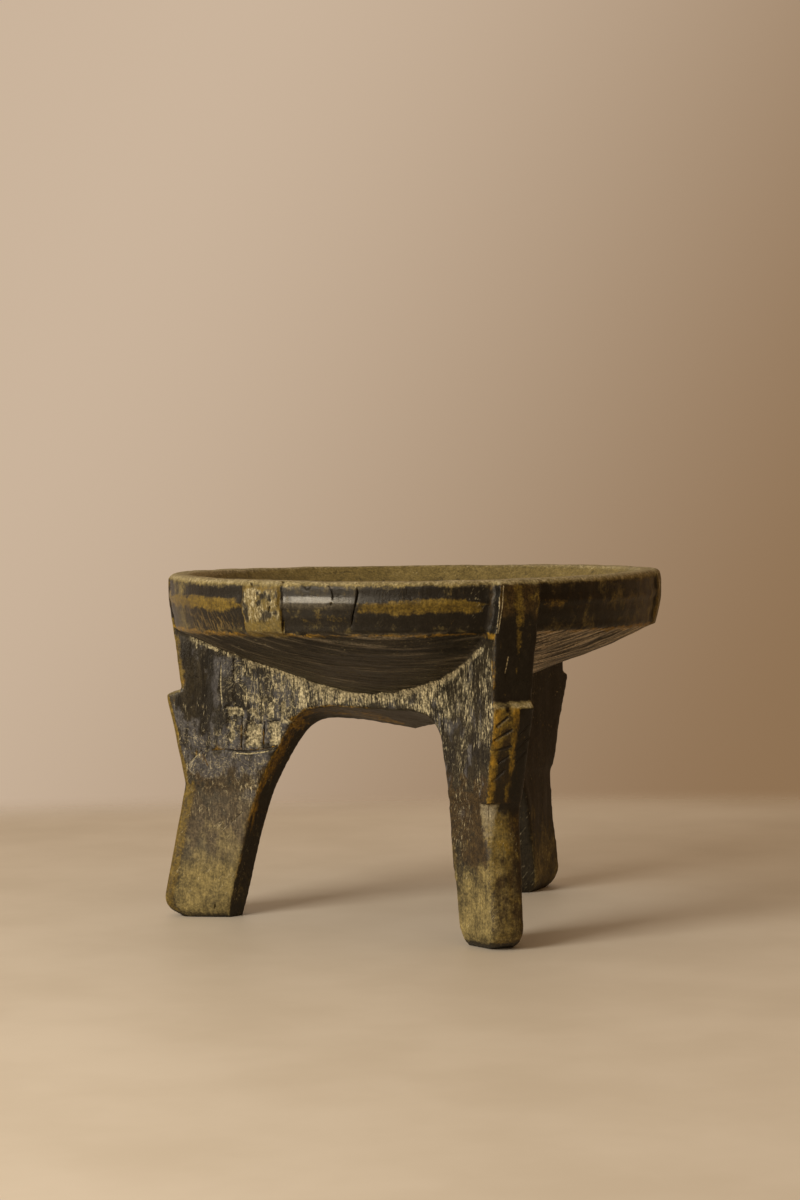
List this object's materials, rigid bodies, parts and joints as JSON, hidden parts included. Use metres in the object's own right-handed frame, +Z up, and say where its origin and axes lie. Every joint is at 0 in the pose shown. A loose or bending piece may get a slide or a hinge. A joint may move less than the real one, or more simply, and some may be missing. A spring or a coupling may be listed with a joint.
{
  "type": "carved wooden stool",
  "caption": "Low round stool carved from one block, with a dished seat and plank-like legs that run over the rim as spines.",
  "frame": {"origin": "on the ground under the middle of the stool's bounding box", "axes": "+Z up through the seat, -Y towards the leg that stands nearest the viewer, +X to the viewer's right"},
  "size_m": [0.3, 0.3084, 0.2139],
  "materials": {
    "aged_hardwood": "dark handled patina with a satin wax-like gloss, worn golden at the edges, dusty and scratched on the flat sides, paler at the feet"
  },
  "bodies": {
    "root": {"stool": "aged_hardwood"}
  },
  "joints": []
}
